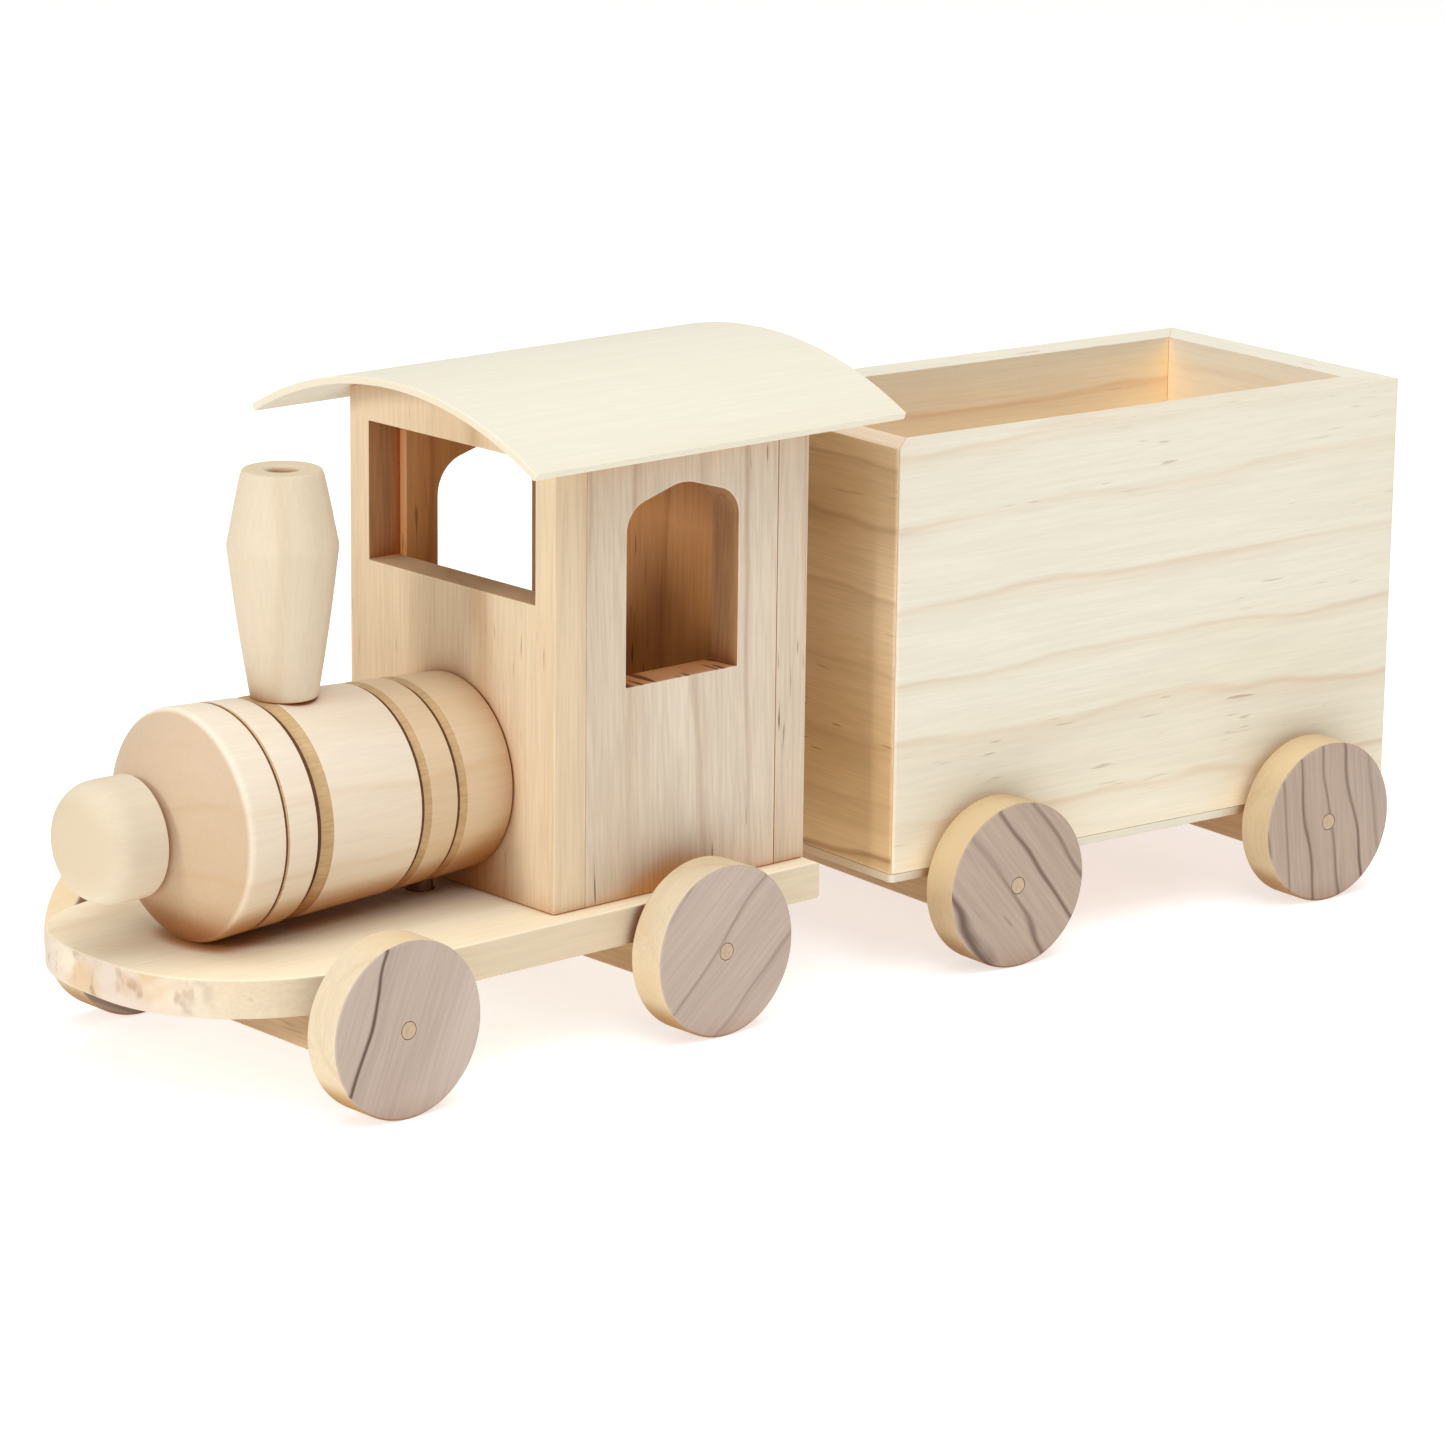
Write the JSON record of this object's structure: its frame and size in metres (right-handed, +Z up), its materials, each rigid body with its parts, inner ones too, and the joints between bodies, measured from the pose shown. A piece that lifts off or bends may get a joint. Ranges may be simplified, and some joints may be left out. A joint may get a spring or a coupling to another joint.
{
  "type": "wooden toy box car with locomotive",
  "caption": "Open wooden box car on disc wheels, hooked to a toy locomotive with boiler, chimney and arched cab roof; the wheel pairs turn and the coupling swivels.",
  "frame": {"origin": "centre of the train's plan box, on the floor under the wheels", "axes": "+X along the box car, away from the locomotive; +Y to the car's far side; +Z up"},
  "size_m": [0.3612, 0.1222, 0.1485],
  "materials": {
    "pale_pine_board": "bare sanded pine board with soft tan grain bands",
    "thin_ply": "bare smooth thin plywood",
    "cab_pine_board": "bare sanded pine with upright grain",
    "block_pine": "bare sawn pine",
    "turned_pine": "bare turned pine",
    "pale_turned_wood": "bare turned pale wood",
    "end_grain_wheel": "bare sanded wheel blank with growth rings",
    "dowel_birch": "bare dowel rod",
    "steel_wire": "plain bright wire"
  },
  "bodies": {
    "box_car": {"car_side_wall_near": "pale_pine_board", "car_side_wall_far": "pale_pine_board", "car_front_wall": "pale_pine_board", "car_rear_wall": "pale_pine_board", "car_floor": "thin_ply", "car_axle_block_front": "block_pine", "car_axle_block_rear": "block_pine", "car_coupling_hook": "steel_wire"},
    "car_front_wheelset": {"car_front_axle": "dowel_birch", "car_front_wheel_near": "end_grain_wheel", "car_front_wheel_far": "end_grain_wheel"},
    "car_rear_wheelset": {"car_rear_axle": "dowel_birch", "car_rear_wheel_near": "end_grain_wheel", "car_rear_wheel_far": "end_grain_wheel"},
    "locomotive": {"loco_base": "pale_pine_board", "loco_axle_block_front": "block_pine", "loco_axle_block_rear": "block_pine", "boiler": "turned_pine", "boiler_knob": "pale_turned_wood", "boiler_peg_front": "dowel_birch", "boiler_peg_rear": "dowel_birch", "chimney": "pale_turned_wood", "cab_front_panel": "cab_pine_board", "cab_rear_panel": "cab_pine_board", "cab_side_panel_near": "cab_pine_board", "cab_side_panel_far": "cab_pine_board", "cab_roof": "thin_ply", "loco_coupling_eye": "steel_wire"},
    "loco_front_wheelset": {"loco_front_axle": "dowel_birch", "loco_front_wheel_near": "end_grain_wheel", "loco_front_wheel_far": "end_grain_wheel"},
    "loco_rear_wheelset": {"loco_rear_axle": "dowel_birch", "loco_rear_wheel_near": "end_grain_wheel", "loco_rear_wheel_far": "end_grain_wheel"}
  },
  "joints": [
    {"name": "coupling_swivel", "type": "hinge", "parent": "box_car", "child": "locomotive", "pos_m": [0.01087, 0.00678, 0.0267], "axis": [0, 0, 1], "range_deg": [-35, 25]},
    {"name": "car_front_wheels_spin", "type": "hinge", "parent": "box_car", "child": "car_front_wheelset", "pos_m": [0.05217, 0.00678, 0.02], "axis": [0, 1, 0], "continuous": true},
    {"name": "car_rear_wheels_spin", "type": "hinge", "parent": "box_car", "child": "car_rear_wheelset", "pos_m": [0.15107, 0.00678, 0.02], "axis": [0, 1, 0], "continuous": true},
    {"name": "loco_front_wheels_spin", "type": "hinge", "parent": "locomotive", "child": "loco_front_wheelset", "pos_m": [-0.13147, -0.00583, 0.02], "axis": [-0.0882, 0.9961, 0], "continuous": true},
    {"name": "loco_rear_wheels_spin", "type": "hinge", "parent": "locomotive", "child": "loco_rear_wheelset", "pos_m": [-0.04077, 0.0022, 0.02], "axis": [-0.0882, 0.9961, 0], "continuous": true}
  ]
}
